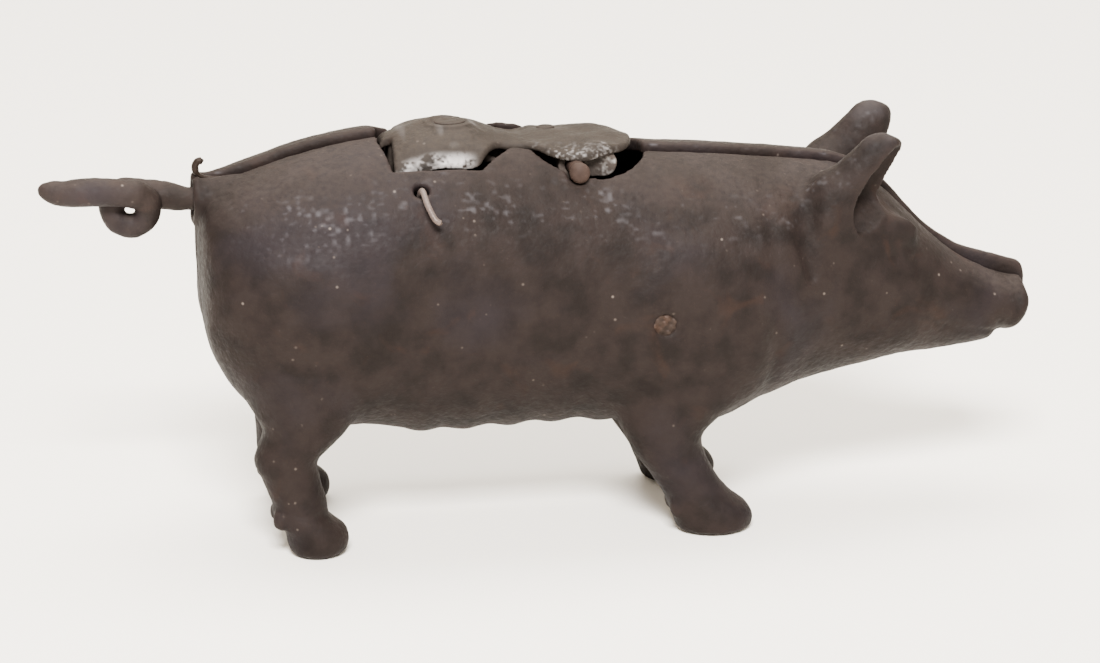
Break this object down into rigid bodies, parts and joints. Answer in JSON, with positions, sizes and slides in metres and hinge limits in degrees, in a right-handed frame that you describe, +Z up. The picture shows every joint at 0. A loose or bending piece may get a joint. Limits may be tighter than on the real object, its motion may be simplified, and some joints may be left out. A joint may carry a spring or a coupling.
{
  "type": "mechanical pig bank",
  "caption": "Cast-iron pig bank whose tail releases a hinged lid in the back: a little man swings up while the coin plate tips its coin into the hollow body.",
  "frame": {"origin": "middle of the pig's bounding box, on the ground that its feet stand on", "axes": "+X towards the snout, +Y towards the pig's left side, +Z up"},
  "size_m": [0.2036, 0.0504, 0.0852],
  "materials": {
    "body_iron": "old dark brown-black cast iron, dusty on top, specks of rust",
    "lid_iron": "grey dusty cast iron with bright worn edges",
    "tail_iron": "dark handled cast iron",
    "man_iron": "dark cast iron with worn high spots",
    "steel": "dull steel, lightly rusted",
    "spring_wire": "dull drawn spring wire"
  },
  "bodies": {
    "body": {"right_half": "body_iron", "left_half": "body_iron", "body_screw": "steel", "tail_pin": "steel", "tail_spring": "spring_wire", "main_spring": "spring_wire"},
    "lid": {"lid_plate": "lid_iron", "hinge_lever": "lid_iron", "little_man": "man_iron", "man_rivet": "lid_iron", "lever_rivet": "lid_iron", "lid_axle": "tail_iron"},
    "tail": {"tail_lever": "tail_iron"}
  },
  "joints": [
    {"name": "lid_hinge", "type": "hinge", "parent": "body", "child": "lid", "pos_m": [0.005, 0, 0.0762], "axis": [0, 1, 0], "range_deg": [0, 85], "deforming": ["main_spring"]},
    {"name": "tail_hinge", "type": "hinge", "parent": "body", "child": "tail", "pos_m": [-0.065, 0, 0.0701], "axis": [0, -1, 0], "range_deg": [0, 6], "stiffness_Nm_per_rad": 0.1, "springref_deg": -11.46, "deforming": ["tail_spring"]}
  ]
}
